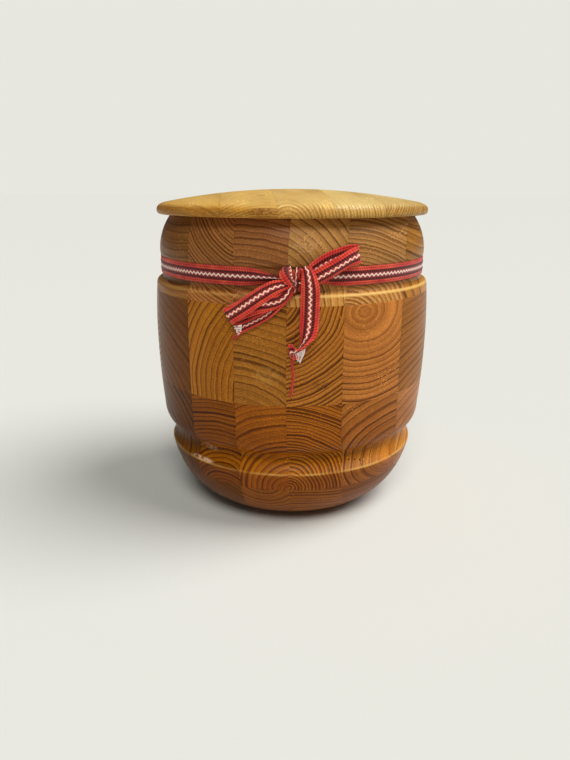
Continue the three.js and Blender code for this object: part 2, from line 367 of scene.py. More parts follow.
def stored(geometry, label, value, kind="FLOAT"):
    """The geometry with a named value kept at each of its points."""
    settings = {"data_type": kind, "domain": "POINT"}
    values = {"Geometry": geometry, "Name": label, "Value": value}
    return geometry.add("GeometryNodeStoreNamedAttribute", settings, values)


def made(name, mesh, tree, sizes):
    """The plain object that a geometry tree makes of a mesh with these sizes."""
    source = bpy.data.objects.new(name, mesh)
    bpy.context.scene.collection.objects.link(source)
    modifier = source.modifiers.new("making", "NODES")
    modifier.node_group = tree
    for item in tree.interface.items_tree:
        if item.in_out == "INPUT" and item.name in sizes:
            modifier[item.identifier] = sizes[item.name]
    source.update_tag()
    final = bpy.data.meshes.new_from_object(source.evaluated_get(bpy.context.evaluated_depsgraph_get()))
    source.modifiers.remove(modifier)
    bpy.data.objects.remove(source)
    final.name = name
    piece = bpy.data.objects.new(name, final)
    bpy.context.scene.collection.objects.link(piece)
    return piece


board_sizes = {
    "Low Corner": "Vector",
    "High Corner": "Vector",
    "Turn": "Float",
    "Side": "Float",
    "Pith": "Vector",
    "Rings": "Vector",
    "Tone": "Color",
    "Material": "Material",
}
sawing, given, sawn_end = tree_with("sawn_board", board_sizes)
low_corner, high_corner = given["Low Corner"], given["High Corner"]
whole = given["Geometry"]
board_size = high_corner.vector("SUBTRACT", low_corner)
board_middle = high_corner.vector("ADD", low_corner).scaled(0.5)
block = whole.add("GeometryNodeMeshCube", inputs={"Size": board_size})
placed = whole.add("GeometryNodeTransform", inputs={"Geometry": block, "Translation": board_middle})
turn = whole.add("ShaderNodeCombineXYZ", inputs={"Z": given["Turn"]})
swung = whole.add("GeometryNodeTransform", inputs={"Geometry": placed, "Rotation": turn})
overlap = {"operation": "INTERSECT", "solver": "MANIFOLD"}
cut = whole.add("GeometryNodeMeshBoolean", overlap, {1: [whole, swung]})
kept_side = whole.add("GeometryNodeInputPosition").part("Y") * given["Side"] > -1e-6
half = {"Geometry": cut, "Selection": kept_side}
board = whole.add("GeometryNodeSeparateGeometry", {"domain": "POINT"}, half)
for label, kind in (("Pith", "FLOAT_VECTOR"), ("Rings", "FLOAT_VECTOR"), ("Tone", "FLOAT_COLOR")):
    board = stored(board, label.lower(), given[label], kind)
end_tree(sawn_end, board, given["Material"])


def pine(name, grain_turn, face_lines, wear_and_light):
    """Lacquered pine. Its grain is turned by that angle, and its lines keep that share of their
    strength off the end grain. The pith, rings and tone are each board's own attributes."""
    material, wood, shader = finish_of(name)
    seat = wood.add("ShaderNodeTexCoord", output="Object")
    spot = wood.add(
        "ShaderNodeMapping",
        {"vector_type": "POINT"},
        {"Vector": seat, "Rotation": (0, 0, -grain_turn), "Scale": (1000, 1000, 1000)},
    )
    pith = wood.attribute("pith", "Vector")
    rings = wood.attribute("rings", "Vector")
    tone = wood.attribute("tone", "Color")
    width, strength, core = rings.part("X"), rings.part("Y"), rings.part("Z")
    own = spot.vector("ADD", pith.vector("MULTIPLY", (3.7, 0, 5.3)))

    def streaked(across, along, detail=2):
        """Noise drawn out along the grain, with its own start in each board."""
        return own.vector("MULTIPLY", (across, along, across)).noise(1, detail)

    # Annual rings: a pale early and a dark late part of each year, round a pith that wanders
    away = spot.vector("SUBTRACT", pith).vector("MULTIPLY", (1, 0, 1))
    distance = away.vector("LENGTH", output=1)
    wander = streaked(0.022, 0.004) * 2.0 + streaked(0.16, 0.012) * 0.25
    radius = distance + wander
    one_way = {"noise_dimensions": "1D"}
    uneven = wood.add("ShaderNodeTexNoise", one_way, {"W": radius * 0.11 + pith.part("X"), "Detail": 1})
    count = radius / width + (uneven - 0.5) * 0.8
    ring = count.maths("FLOOR")
    growth = count - ring
    year = wood.add("ShaderNodeTexWhiteNoise", one_way, {"W": ring + pith.part("Z") * 0.37})
    turned_away = wood.add("ShaderNodeTexCoord", output="Normal")
    facing = wood.add(
        "ShaderNodeMapping",
        {"vector_type": "NORMAL"},
        {"Vector": turned_away, "Rotation": (0, 0, -grain_turn)},
    )
    end_grain = abs(facing.part("Y"))
    strength = strength * (end_grain.rise(0.05, 0.5) * (1 - face_lines) + face_lines)
    before_winter = (1 - growth) * width
    late = before_winter.rise(1.1 + 1.2 * year, 0.55) * before_winter.rise(0.0, 0.16)
    broken = 0.86 + 0.14 * streaked(0.7, 0.05)
    calm = 0.3 + 0.7 * radius.rise(core - 3, core + 4)
    golden = abs(radius - core * 0.56).rise(3.2, 1.4) * (core > 5)
    line = late * (0.74 + 0.26 * year) * strength * calm * broken
    summer = growth.rise(0.05, 0.95) * 0.55 * strength
    spring = growth.rise(0.5, 0.0) * 0.5 * strength

    # Fibres, pores and blotches run along the grain, and rays stand out from the pith on end grain
    fibre = streaked(2.2, 0.05, 3)
    pores = streaked(1.1, 0.03)
    blotch = streaked(0.035, 0.012, 3)
    around = away.part("Z").maths("ARCTAN2", away.part("X"))
    fanned = {"X": around * 110, "Y": distance * 0.03, "Z": pith.part("X")}
    rays = wood.add("ShaderNodeCombineXYZ", inputs=fanned).noise(1, 1)
    ray_patch = streaked(0.06, 0.03).rise(-0.3, 0.8)

    dark = tone.vector("MULTIPLY", (0.15, 0.09, 0.06))
    warm = tone.vector("MULTIPLY", (0.62, 0.5, 0.36))
    light = tone.vector("MULTIPLY", (1.45, 1.45, 1.4))
    resin = tone.vector("MULTIPLY", (1.8, 1.9, 2.4))
    colour = summer.mix(tone, warm)
    colour = spring.mix(colour, light)
    colour = (golden * 0.8).mix(colour, light)
    colour = (blotch.rise(0.0, 1.0) * 0.45).mix(colour, light)
    colour = (blotch.rise(0.1, -1.0) * 0.6).mix(colour, warm)
    colour = (fibre.rise(-0.4, 1.0) * (0.6 - 0.1 * end_grain)).mix(colour, warm)
    colour = (pores.rise(-0.5, 0.8) * 0.7 * end_grain).mix(colour, warm)
    colour = (pores.rise(-0.1, -0.9) * 0.6 * end_grain).mix(colour, light)
    colour = (rays.rise(0.1, 0.9) * ray_patch * end_grain.rise(0.6, 0.9) * 0.6).mix(colour, light)
    colour = line.mix(colour, dark)

    # Resin canals show as short pale flecks, in patches
    stretched = own.vector("MULTIPLY", (0.6, 0.02, 0.6))
    canal = wood.add("ShaderNodeTexVoronoi", {"feature": "F1"}, {"Vector": stretched, "Scale": 1})
    fleck = canal.rise(0.36, 0.16) * streaked(0.05, 0.02).rise(0.1, 0.8)
    colour = (fleck * 0.8).mix(colour, resin)
    colour = wear_and_light(colour, spot, facing)

    # The lacquer has a soft gloss and follows the grain's relief
    bloom = streaked(0.05, 0.02, 3)
    gloss = 0.33 + bloom * 0.05 + line * 0.06 + end_grain * 0.04
    relief = line * 0.05 + fibre * 0.008 + pores * 0.01 + streaked(0.04, 0.015) * 0.12
    bump = wood.add("ShaderNodeBump", inputs={"Strength": 0.6, "Distance": 0.001, "Height": relief})
    colour.into(shader, "Base Color")
    gloss.into(shader, "Roughness")
    bump.into(shader, "Normal")
    shader.inputs["Specular IOR Level"].default_value = 0.09
    return material


def mark(spot, x, z, wide, high):
    """1 in the middle of an oval place on the jar's front, and 0 outside it."""
    aside, above = (spot.part("X") - x) / wide, (spot.part("Z") - z) / high
    return (aside * aside + above * above).rise(1, 0.2) * (spot.part("Y") < 0)


def jar_wear_and_painted_light(colour, spot, facing):
    """Painted shade on the foot, above the cove and in the groove under the ribbon, and painted light in the
    cove and on the ledge under the shoulder. Lacquer worn thin along the two sharp edges, with a painted
    highlight there, and the marks and pinholes of use, among them a painted highlight on the foot's edge
    and a painted sheen on the neck."""
    height = spot.part("Z")
    radius = spot.vector("MULTIPLY", (1, 1, 0)).vector("LENGTH", output=1)
    patch = spot.vector("MULTIPLY", (0.05, 0.05, 0.08)).noise(1, 3)
    # Painted light and shade: the cove is painted paler where the belly shades it, the foot, the low belly
    # and the groove under the ribbon darker where shade falls on them, and the ledge under the shoulder paler
    # where it faces the light above
    cove = abs(height - 60).rise(12, 4) * radius.rise(90, 94)
    foot = height.rise(53.4, 52) * (0.8 + 0.2 * patch)
    low_belly = abs(height - 80).rise(20, 4)
    ledge = abs(height - 186).rise(5, 3.5) * radius.rise(106, 108)
    groove = (height > 190) * (height < 209) * radius.rise(108, 106)
    painted_light_and_shade = (
        (cove, 1.3, 1.42, 1.1),
        (foot, 0.78, 0.68, 0.5),
        (low_belly * 0.4, 0.7, 0.6, 0.45),
        (ledge * 0.5, 1.8, 1.7, 1.4),
        (groove * 0.5, 0.75, 0.62, 0.45),
    )
    for share, *tint in painted_light_and_shade:
        colour = share.mix(colour, (*tint, 1), "MULTIPLY")
    worn = patch.rise(-0.8, 1.0)
    # The pale edges are partly worn lacquer and partly a painted highlight, strongest on the right of the
    # shoulder, towards the key light
    shoulder_highlight_and_wear = abs(height - 188.8).rise(1.6, 0.2) * radius.rise(109, 110.6)
    foot_wear_and_highlight = abs(height - 53.6).rise(1.2, 0.1) * radius.rise(102.5, 104)
    worn_and_highlit = shoulder_highlight_and_wear * (0.2 + 0.6 * spot.part("X").rise(0, 40)) + foot_wear_and_highlight * (0.1 + 0.4 * worn)
    colour = worn_and_highlit.mix(colour, paint(0xe8bc6c))
    mottle = spot.vector("MULTIPLY", (0.3, 0.1, 0.5)).noise(1, 3).rise(-0.6, 0.8)
    for x, z, wide, high, share, code in worn_marks_and_highlights:
        colour = (mark(spot, x, z, wide, high) * mottle * share).mix(colour, paint(code))
    for x, z in pinholes:
        colour = mark(spot, x, z, 0.7, 0.7).mix(colour, paint(0x2a1508))
    return colour


# Each mark: how far right and how high its middle is, its reach aside and upwards, how strong it is,
# and its colour
worn_marks_and_highlights = (
    (-46, 64, 8, 2.6, 0.5, 0xe0b48c),
    # A pale strip on the foot's edge: worn lacquer together with a painted highlight
    (-52, 54.6, 13, 1.6, 0.9, 0xf2c8a4),
    (43, 126, 7, 4.5, 0.7, 0x4a260c),
    (5, 133, 12, 9, 0.35, 0xd2a050),
    (-20, 84, 20, 7, 0.45, 0x5a2c0a),
    (-72, 78, 16, 9, 0.5, 0x4e260a),
    # A painted sheen on the neck
    (30, 222, 10, 7, 0.3, 0xd8b080),
)
pinholes = ((61.4, 59.9), (65.5, 59.2), (69.3, 58.1))
jar_wood = pine("jar_wood", 0, 1, jar_wear_and_painted_light)

# Each board: its pith, the width of its rings, how strong their lines are, its calm core, and its tone
# The tones of the boards on the left are darker partly as painted shade, as that side is away from the key
# light
front_grain = {
    "upper_board_2": ((-70, 420), 6.0, 0.65, 0, 0x8a5c2c),
    "upper_board_3_front": ((8, 272), 2.6, 0.85, 0, 0xa26a38),
    "upper_board_4_front": ((-15, 110), 4.2, 0.72, 0, 0xa0683a),
    "upper_board_5_front": ((-10, 175), 4.6, 0.87, 0, 0xbc8a4c),
    "upper_board_6": ((58, 170), 2.7, 0.72, 0, 0xb28048),
    "middle_board_2": ((-150, 50), 6.0, 0.58, 0, 0x7a460e),
    "middle_board_3_front": ((47, 116), 4.5, 1.0, 0, 0xb6721e),
    "middle_board_4_front": ((-16, 81), 5.2, 0.87, 0, 0xaa6e26),
    "middle_board_5_front": ((6, 188), 3.0, 1.0, 0, 0xb27028),
    "middle_board_6": ((70, 177), 4.4, 1.0, 32, 0xb87434),
    "middle_board_7": ((150, 60), 5.0, 0.72, 0, 0x9c6226),
    "lower_board_2": ((-140, 40), 5.0, 0.87, 0, 0x70400c),
    "lower_board_3_front": ((-32, 25), 3.4, 1.0, 0, 0x90500c),
    "lower_board_4_front": ((19, 40), 4.4, 0.87, 0, 0xa65e12),
    "lower_board_5_front": ((19, 42), 2.5, 1.0, 0, 0xae6616),
    "lower_board_6": ((97, 58), 6.6, 1.0, 18, 0xaa682a),
    "lower_board_7": ((150, 30), 6.0, 0.6, 0, 0xb87840),
    "base_board_2": ((-150, 60), 5.0, 0.6, 0, 0x7a4c14),
    "base_board_3": ((-60, -20), 4.4, 0.7, 0, 0x84500f),
    "base_board_4": ((-3, 58), 4.0, 0.8, 0, 0xa2621a),
    "base_board_5": ((22, -160), 3.2, 0.8, 0, 0xa06018),
    "base_board_6": ((60, 150), 7.0, 0.5, 0, 0x90541a),
}
hidden_tones = (0x9c6828, 0x8f5f26, 0xa4702e, 0x94622a)


def grain_of(node, middle):
    """A board's grain, as listed where the front shows it and by chance where it is hidden."""
    if node in front_grain:
        return front_grain[node]
    chance = random.Random(f"board {node}")
    pith_x = middle.x / mm + chance.uniform(-70, 70)
    pith_z = middle.z / mm + chance.choice((-1, 1)) * chance.uniform(20, 110)
    ring_width, strength = chance.uniform(2.6, 5.2), chance.uniform(0.7, 0.95)
    return (pith_x, pith_z), ring_width, strength, 0, chance.choice(hidden_tones)


# The saw cuts reach beyond the jar, and the glue is squeezed to a line thinner than the CAD's
beyond = 0.3
squeeze = 0.11 * mm
sharp_edge = math.radians(28)


def sawn(node, solid, low, high, turn_angle, side, grain, finish, body):
    """One board cut from a turned solid, riding on its body and standing for its node. Its side is -1
    where it is the half before the hollow, 1 where it is the half behind it, and 0 where it is whole."""
    (pith_x, pith_z), ring_width, strength, core, tone = grain
    sizes = {
        "Low Corner": low,
        "High Corner": high,
        "Turn": turn_angle,
        "Side": side,
        "Pith": (pith_x, 0.0, pith_z),
        "Rings": (ring_width, strength, float(core)),
        "Tone": paint(tone),
        "Material": finish,
    }
    board = made(node + "_wood", solid, sawing, sizes)
    board.data.shade_smooth()
    board.data.set_sharp_from_angle(angle=sharp_edge)
    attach(board, body)
    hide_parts(node)
    return board


# Each board is cut where the CAD has its joints. Outside the stack the cuts lie clear of the jar
tier_names = ("base", "lower", "middle", "upper")
for node in sorted(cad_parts):
    tier, *rest = node.split("_")
    if tier not in tier_names:
        continue
    low, high = (Vector(corner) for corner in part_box(node))
    grain = grain_of(node, (low + high) / 2)
    low -= Vector((squeeze, 0, squeeze))
    high += Vector((squeeze, 0, squeeze))
    low.y, high.y = -beyond, beyond
    if rest[1] == "1":
        low.x = -beyond
    if rest[1] == "7":
        high.x = beyond
    if tier == "base":
        low.z = -beyond
    if tier == "upper":
        high.z = beyond
    side = {"front": -1.0, "back": 1.0}.get(rest[-1], 0.0)
    sawn(node, jar_solid, low, high, 0.0, side, grain, jar_wood, "jar")


# The lid is one glued panel of seven pine boards, paler than the body, turned to a shallow dome with a
# rounded edge and a spigot that drops in the jar's mouth. Its grain lies a little askew to the jar's.
lid_radius = 109 * mm
lid_thickness = 19 * mm
lid_edge_rise = 9.1 * mm
lid_edge_width = 7 * mm
lid_edge_round = 3 * mm
spigot_depth = 8 * mm
spigot_radius = 85.2 * mm
spigot_chamfer = 1 * mm
lid_turn = math.radians(16.5)
lid_board_width = 38 * mm
glue_line = 0.3 * mm
lid_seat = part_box("lid_board_4")[0].z + spigot_depth
dome_edge = lid_radius - lid_edge_width


def lid_at(radius, rise):
    """A point of the lid's outline, with its rise above the jar's rim."""
    return radius, lid_seat + rise


spigot_corner = lid_at(spigot_radius, spigot_chamfer - spigot_depth)
edge_low = lid_at(lid_radius, lid_edge_round)
edge_high = lid_at(dome_edge, lid_edge_rise)
lid_line = outline_of(
    lid_at(0, -spigot_depth),
    lid_at(spigot_radius - spigot_chamfer, -spigot_depth),
    spigot_corner,
    lid_at(spigot_radius, 0),
    curve(lid_at(lid_radius - lid_edge_round, 0), lid_at(lid_radius, 0), edge_low),
    curve(edge_low, lid_at(lid_radius, lid_edge_rise - 1.6 * mm), edge_high),
    curve(edge_high, lid_at(dome_edge / 2, lid_thickness), lid_at(0, lid_thickness)),
)
lid_solid = turned("turned_lid", lid_line)


def lid_wear_and_painted_light(colour, spot, facing):
    """Painted shade on the lid's edge and more on its side away from the key light, amber streaks in the
    grain, and marks, one of them a painted highlight.
    """
    upward = facing.part("Z")
    patch = spot.scaled(0.04).noise(1, 3)
    # Painted shade: faces that turn away from the light above are darker, most on the edge, and the side away
    # from the key light darker still
    painted_edge_shade = upward.rise(0.93, 0.55) * (0.8 + 0.2 * patch)
    colour = painted_edge_shade.mix(colour, (0.7, 0.55, 0.36, 1), "MULTIPLY")
    left = spot.part("X").rise(-20, -110) * (0.2 + 0.5 * upward.rise(0.97, 0.8))
    colour = left.mix(colour, (0.62, 0.5, 0.36, 1), "MULTIPLY")
    amber = spot.vector("MULTIPLY", (0.03, 0.012, 0.08)).noise(1, 3)
    colour = (amber.rise(-0.2, 0.9) * 0.5).mix(colour, (0.98, 0.84, 0.6, 1), "MULTIPLY")
    mottle = spot.vector("MULTIPLY", (0.5, 0.1, 0.9)).noise(1, 3).rise(-0.5, 0.8)
    for x, z, wide, high, share, code in lid_marks_and_highlight:
        colour = (mark(spot, x, z, wide, high) * mottle * share).mix(colour, paint(code))
    return colour


# The lid's marks are given as the jar's are, in a frame that is turned with its grain
lid_marks_and_highlight = (
    (-29, 243.6, 12, 3.4, 1, 0x7a4a1e),
    (-46, 245.8, 13, 2.2, 0.9, 0xe0a034),
    (-58, 242, 18, 2.2, 0.7, 0x7e5222),
    (-88, 242, 12, 3, 0.7, 0x7a4c1e),
    (-28, 254.2, 4, 0.5, 0.8, 0x8a5a28),
    # A painted highlight on the lid's front
    (32, 247, 17, 1.6, 0.6, 0xf6e4b8),
)
lid_wood = pine("lid_wood", lid_turn, 0.06, lid_wear_and_painted_light)
# The lid's boards from left to right, each given as the jar's are
lid_grain = (
    ((-140, 330), 3.0, 0.4, 0, 0xe8b864),
    ((-90, 190), 3.4, 0.35, 0, 0xecbe64),
    ((-25, 190), 1.9, 0.4, 0, 0xecc06a),
    ((-12, 236), 2.3, 0.5, 0, 0xeec676),
    ((-22, 230), 2.3, 0.55, 0, 0xeccc80),
    ((-40, 300), 2.1, 0.6, 0, 0xe8c67c),
    ((210, 280), 3.0, 0.5, 0, 0xe4be76),
)
for number, grain in enumerate(lid_grain, 1):
    middle = (number - (len(lid_grain) + 1) / 2) * lid_board_width
    half = (lid_board_width - glue_line) / 2 + squeeze
    low = Vector((-beyond if number == 1 else middle - half, -beyond, -beyond))
    high = Vector((beyond if number == len(lid_grain) else middle + half, beyond, beyond))
    node = f"lid_board_{number}"
    sawn(node, lid_solid, low, high, lid_turn, 0.0, grain, lid_wood, "lid")


# The ribbon is one length of woven cotton band, 13 mm wide: two ribbed red cords and a dark one along
# each edge, and a pale zigzag between. It lies in the groove and is tied in a bow at the front, with
# its loops and tails a little crushed and both its cut ends frayed.
ribbon_width = 13 * mm
cord_width = 1.55 * mm
rib_length = 1.9 * mm
band_height = 200.5 * mm
knot_angle = math.radians(-78)


def on_jar(arc, rise, proud):
    """A place arc to the right of the knot and rise above the band, proud of the belly, all in mm."""
    angle = knot_angle + arc * mm / belly_radius
    radius = belly_radius + proud * mm
    return Vector((radius * math.cos(angle), radius * math.sin(angle), band_height + rise * mm))


def breadth(arc, lean, roll):
    """The way across the ribbon there: lean from upright to the right, and roll away from the jar."""
    angle = knot_angle + arc * mm / belly_radius
    right = Vector((-math.sin(angle), math.cos(angle), 0))
    out = Vector((math.cos(angle), math.sin(angle), 0))
    lean, roll = math.radians(lean), math.radians(roll)
    level = Vector((0, 0, math.cos(lean))) + right * math.sin(lean)
    return level * math.cos(roll) + out * math.sin(roll)


# Steps of the smooth line from each station to the next
fine_steps = 24


def woven_rows(stations, rows_a_rib):
    """Rows of (place, breadth, spread, curl) at even steps on a smooth line through the stations."""
    marks = [
        (*on_jar(arc, rise, proud), *breadth(arc, lean, roll), spread, curl)
        for arc, rise, proud, lean, roll, spread, curl in stations
    ]
    times = [0.0]
    for before, after in zip(marks, marks[1:]):
        times.append(times[-1] + math.dist(before[:3], after[:3]))

    def slope(k, axis):
        a, b = max(k - 1, 0), min(k + 1, len(marks) - 1)
        return (marks[b][axis] - marks[a][axis]) / (times[b] - times[a])

    fine = []
    for k in range(len(marks) - 1):
        span = times[k + 1] - times[k]
        for step in range(fine_steps):
            t = step / fine_steps
            leave, arrive = 2 * t ** 3 - 3 * t ** 2 + 1, 3 * t ** 2 - 2 * t ** 3
            leaving, arriving = t ** 3 - 2 * t ** 2 + t, t ** 3 - t ** 2
            fine.append([
                leave * marks[k][axis] + leaving * span * slope(k, axis)
                + arrive * marks[k + 1][axis] + arriving * span * slope(k + 1, axis)
                for axis in range(len(marks[k]))
            ])
    fine.append(list(marks[-1]))
    lengths = [0.0]
    for before, after in zip(fine, fine[1:]):
        lengths.append(lengths[-1] + math.dist(before[:3], after[:3]))
    count = max(round(lengths[-1] / rib_length * rows_a_rib), 2)
    rows, k = [], 0
    for row in range(count + 1):
        goal = lengths[-1] * row / count
        while k < len(fine) - 2 and lengths[k + 1] < goal:
            k += 1
        t = (goal - lengths[k]) / (lengths[k + 1] - lengths[k])
        values = [a + (b - a) * t for a, b in zip(fine[k], fine[k + 1])]
        rows.append((Vector(values[:3]), Vector(values[3:6]).normalized(), values[6], values[7]))
    return rows, lengths[-1]


# The band, in mm: how far it stands out of the groove's floor, how near the knot it is drawn
# together, and how near the knot it starts to lift and how high
band_clearance = 0.9
band_rows = 180
gather_from, gather_to = 3, 37
lift_from, lift_height = 14, 6
band_proud = (groove_radius - belly_radius) / mm + band_clearance
girth = 2 * math.pi * belly_radius / mm


def band_station(arc):
    """The band round the groove, drawn narrow and lifted where it runs into the knot."""
    near = min(arc, girth - arc)
    loose = min(max((near - gather_from) / (gather_to - gather_from), 0), 1)
    loose = loose * loose * (3 - 2 * loose)
    lift = max(1 - near / lift_from, 0) ** 2 * lift_height
    return arc, 0.2 + 0.6 * loose, band_proud + lift, 0, 0, 0.24 + 0.76 * loose, 8 + 40 * (1 - loose)


# Each station: arc, rise, proud, lean, roll, the share of its full width, and how far its edges curl
band_stations = [band_station(2 + (girth - 4) * k / band_rows) for k in range(band_rows + 1)]
left_loop = [
    (-1.5, -2.0, 1.5, -34, 0, 0.4, 30),
    (-6.5, -2.8, 4.6, -34, -8, 0.6, 40),
    (-13, -4.8, 5.9, -35, -15, 0.84, 42),
    (-22.5, -10.6, 6.6, -36, -18, 0.96, 42),
    (-31, -16.8, 6.4, -37, -20, 1, 42),
    (-38, -21.6, 5.6, -39, -22, 1, 40),
    (-42.8, -24.8, 4.6, -40, -22, 1, 40),
    (-44.8, -26, 3.4, -38, -12, 1, 40),
    (-43.4, -25.2, 2.6, -34, -4, 1, 24),
    (-38, -22.4, 2.8, -27, 0, 1, 6),
    (-31.5, -19.4, 3.2, -24, 0, 1, 6),
    (-22.5, -16.2, 3.8, -27, 0, 1, 8),
    (-15.5, -15.4, 4.4, -36, 12, 0.96, 26),
    (-9.2, -13.6, 4.6, -46, 22, 0.88, 44),
    (-4.9, -10, 4.2, -56, 16, 0.7, 45),
    (-2.2, -5.6, 2.8, -62, 0, 0.5, 35),
    (-1, -2.5, 0.8, -62, 0, 0.4, 30),
]
right_loop = [
    (4, -1.6, 1.8, -28, 0, 0.42, 30),
    (10, -0.8, 3.6, -26, 8, 0.66, 35),
    (16.5, 2, 4.4, -27, 16, 0.92, 38),
    (23, 5.4, 4.6, -28, 20, 1, 40),
    (32, 10.3, 4.2, -28, 22, 1, 40),
    (39, 13.8, 3, -26, 18, 1, 35),
    (43.6, 15.1, 1.6, -23, 8, 1, 30),
    (45.5, 16, -0.2, -21, 0, 1, 20),
    (43.8, 16.2, -1.8, -19, 0, 1, 5),
    (40, 15.9, -2.4, -16, 0, 1, 5),
    (34.5, 14.7, -2.6, -18, 0, 1, 5),
    (25, 11.5, -2.4, -23, 0, 0.98, 5),
    (16, 7, -1.8, -30, 0, 0.86, 10),
    (9.5, 2.6, -1.4, -36, 0, 0.6, 20),
    (4, -0.5, -1.5, -40, 0, 0.42, 30),
]
left_tail = [
    (-1, -7, -1.2, -40, 0, 0.45, 20),
    (-8, -14.5, 0.8, -40, 5, 0.5, 20),
    (-17, -23.2, 1.2, -36, 8, 0.52, 24),
    (-26, -28.6, 1.4, -30, 8, 0.54, 24),
    (-33.4, -32.3, 1.6, -26, 8, 0.58, 20),
    (-38, -34.2, 1.8, -24, 8, 0.64, 16),
]
front_tail = [
    (6, 1.5, 0.4, 84, 0, 0.46, 30),
    (6.6, 5.8, 2, 82, 0, 0.5, 35),
    (7.6, 8.2, 4.2, 76, 0, 0.56, 42),
    (8.8, 6.2, 6.2, 70, 0, 0.68, 42),
    (10, 0.5, 6.8, 78, 4, 0.86, 32),
    (10.8, -6.5, 6, 87, 4, 1, 22),
    (11, -15, 4.4, 90, 4, 1.02, 16),
    (10.9, -25, 3, 90, 2, 1.02, 12),
    (10.5, -32, 2.8, 88, 10, 1, 8),
    (9.2, -38, 3.6, 80, 38, 0.97, 4),
    (6.6, -42.8, 4.8, 56, 60, 0.92, 4),
    (3.8, -46.6, 4.8, 32, 36, 0.94, 4),
    (1, -48.4, 3.8, 18, 16, 0.94, 20),
    (-2, -49.4, 3, 12, 8, 0.94, 30),
]
wrap = [
    (-6, 7.4, -5, 56, -20, 0.66, 60),
    (-5.6, 5.6, 0.6, 56, -26, 0.7, 65),
    (-4.6, 3.4, 3.8, 55, -28, 0.7, 65),
    (-2.8, 0.8, 5.4, 54, -24, 0.58, 60),
    (-1, -1.8, 5, 52, -16, 0.42, 50),
    (0.6, -4.2, 2, 52, 0, 0.34, 40),
    (1, -5.6, -4, 52, 0, 0.3, 40),
]
under_turn = [
    (2.6, 6.4, -5, 92, 20, 0.4, 30),
    (2.5, 4.8, -1.4, 92, 24, 0.42, 35),
    (2.4, 1.5, 0.2, 96, 28, 0.44, 35),
    (2.2, -3, 0.6, 100, 28, 0.44, 35),
    (1.6, -7, -0.6, 100, 20, 0.4, 30),
    (1.4, -8, -4, 100, 20, 0.4, 30),
]

# What the path's points keep of how the ribbon lies there. A flat stretch has the least curl and not
# none, because the weave is bent by dividing by it
path_points, path_edges = [], []
path_values = {name: [] for name in ("breadth", "facing", "spread", "curl", "fold", "bow", "ribs")}
least_curl = 0.002


def lay_rows(rows, rows_a_rib, fold):
    """Adds rows to the ribbon's path, which is folded lengthwise to show one half where fold is 1."""
    first = len(path_points)
    for k, (spot, across, spread, curl) in enumerate(rows):
        before, after = rows[max(k - 1, 0)][0], rows[min(k + 1, len(rows) - 1)][0]
        course = (after - before).normalized()
        across = (across - course * across.dot(course)).normalized()
        facing = course.cross(across)
        outward = Vector((spot.x, spot.y, 0)).normalized().dot(facing)
        path_points.append(spot)
        path_values["breadth"].append(across)
        path_values["facing"].append(facing)
        path_values["spread"].append(spread)
        path_values["curl"].append(math.radians(curl * outward) + least_curl)
        path_values["fold"].append(fold)
        path_values["bow"].append(float(rows_a_rib > 2))
        path_values["ribs"].append(k / rows_a_rib)
    path_edges.extend((first + k, first + k + 1) for k in range(len(rows) - 1))


def with_values(mesh, values_of):
    """The mesh with a point attribute for each named list of numbers or vectors."""
    for label, values in values_of.items():
        if isinstance(values[0], Vector):
            data = mesh.attributes.new(label, "FLOAT_VECTOR", "POINT").data
            data.foreach_set("vector", [part for value in values for part in value])
        else:
            mesh.attributes.new(label, "FLOAT", "POINT").data.foreach_set("value", values)
    return mesh


for stations in (band_stations, left_loop, right_loop, left_tail, front_tail, wrap, under_turn):
    rows_a_rib = 2 if stations is band_stations else 4
    rows, length = woven_rows(stations, rows_a_rib)
    lay_rows(rows, rows_a_rib, 1.0 if stations is wrap else 0.0)

ribbon_path = bpy.data.meshes.new("ribbon_path")
ribbon_path.from_pydata(path_points, path_edges, [])
with_values(ribbon_path, path_values)

# How far the ribs slant back, in ribs for each metre from the ribbon's middle
rib_slant = 160


def zigzag(ribs, swing):
    """How far the pale yarn lies from the ribbon's middle: to and fro once in every two ribs."""
    turns = ribs / 2
    return (abs(turns - turns.maths("FLOOR") - 0.5) * 4 - 1) * swing


def ribbing(ribs, edge):
    """1 on each rib and -1 between two. The ribs slant back from the ribbon's middle."""
    return ((ribs + edge * rib_slant) * 2 * math.pi).maths("COSINE")


